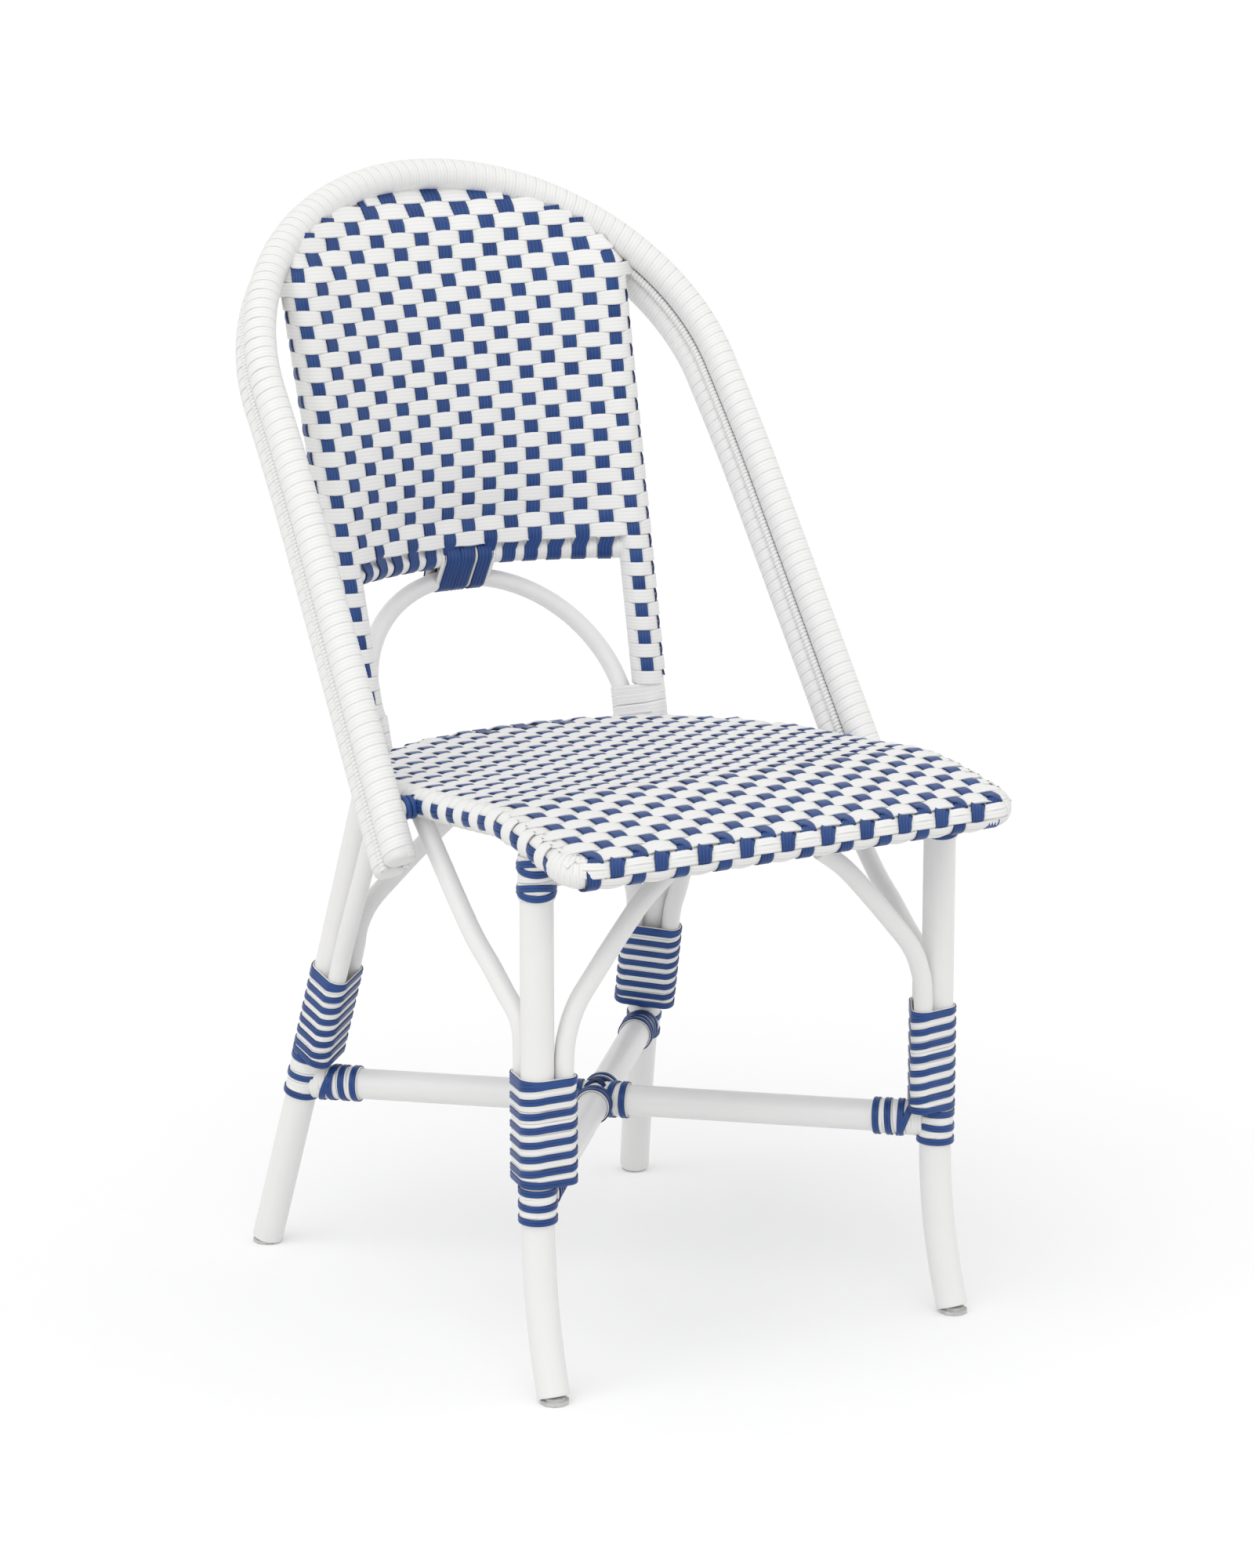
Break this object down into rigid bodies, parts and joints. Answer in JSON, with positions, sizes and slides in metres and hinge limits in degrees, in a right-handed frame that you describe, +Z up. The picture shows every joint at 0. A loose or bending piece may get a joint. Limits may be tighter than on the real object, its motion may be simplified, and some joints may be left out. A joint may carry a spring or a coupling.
{
  "type": "bistro chair",
  "caption": "Armless bistro chair on a frame of round poles, with a woven seat, a rounded woven back below a hoop, and cord bindings at the joints.",
  "frame": {"origin": "on the floor, below the middle of the chair's box", "axes": "+Z up, the chair faces -Y, +X is to the right of someone who faces the front of the chair"},
  "size_m": [0.4788, 0.5856, 0.8902],
  "materials": {
    "paint": "satin near-white paint",
    "woven_cord": "woven white strands with navy squares",
    "white_cord": "satin white wrapped strand",
    "navy_cord": "satin navy wrapped strand",
    "glide": "matt light grey plastic"
  },
  "bodies": {
    "root": {"seat_rail": "paint", "back_rail": "paint", "back_arch": "paint", "front_cross_rail": "paint", "rear_cross_rail": "paint", "stretcher_long": "paint", "stretcher_front_half": "paint", "stretcher_rear_half": "paint", "front_leg_left": "paint", "front_leg_right": "paint", "rear_leg_left": "paint", "rear_leg_right": "paint", "front_brace_left": "paint", "front_brace_right": "paint", "rear_brace_left": "paint", "rear_brace_right": "paint", "front_side_brace_left": "paint", "front_side_brace_right": "paint", "rear_side_brace_left": "paint", "rear_side_brace_right": "paint", "back_post_left": "paint", "back_post_right": "paint", "seat_weave": "woven_cord", "back_weave": "woven_cord", "hoop_front_tube": "white_cord", "hoop_rear_tube": "white_cord", "hoop_bead_outer": "white_cord", "hoop_bead_inner": "white_cord", "crossing_lashing": "white_cord", "post_wrap_left": "white_cord", "post_wrap_right": "white_cord", "front_binding_left": "white_cord", "front_binding_right": "white_cord", "rear_binding_left": "white_cord", "rear_binding_right": "white_cord", "front_joint_wrap_left": "white_cord", "front_joint_wrap_right": "white_cord", "rear_joint_wrap_left": "white_cord", "rear_joint_wrap_right": "white_cord", "front_top_wrap_left": "white_cord", "front_top_wrap_right": "white_cord", "arch_binding": "navy_cord", "front_binding_cord_left": "navy_cord", "front_binding_cord_right": "navy_cord", "rear_binding_cord_left": "navy_cord", "rear_binding_cord_right": "navy_cord", "front_joint_cord_left": "navy_cord", "front_joint_cord_right": "navy_cord", "rear_joint_cord_left": "navy_cord", "rear_joint_cord_right": "navy_cord", "front_stretcher_cord_left": "navy_cord", "front_stretcher_cord_right": "navy_cord", "rear_stretcher_cord_left": "navy_cord", "rear_stretcher_cord_right": "navy_cord", "front_top_cord_left": "navy_cord", "front_top_cord_right": "navy_cord", "front_glide_left": "glide", "front_glide_right": "glide", "rear_glide_left": "glide", "rear_glide_right": "glide"}
  },
  "joints": []
}
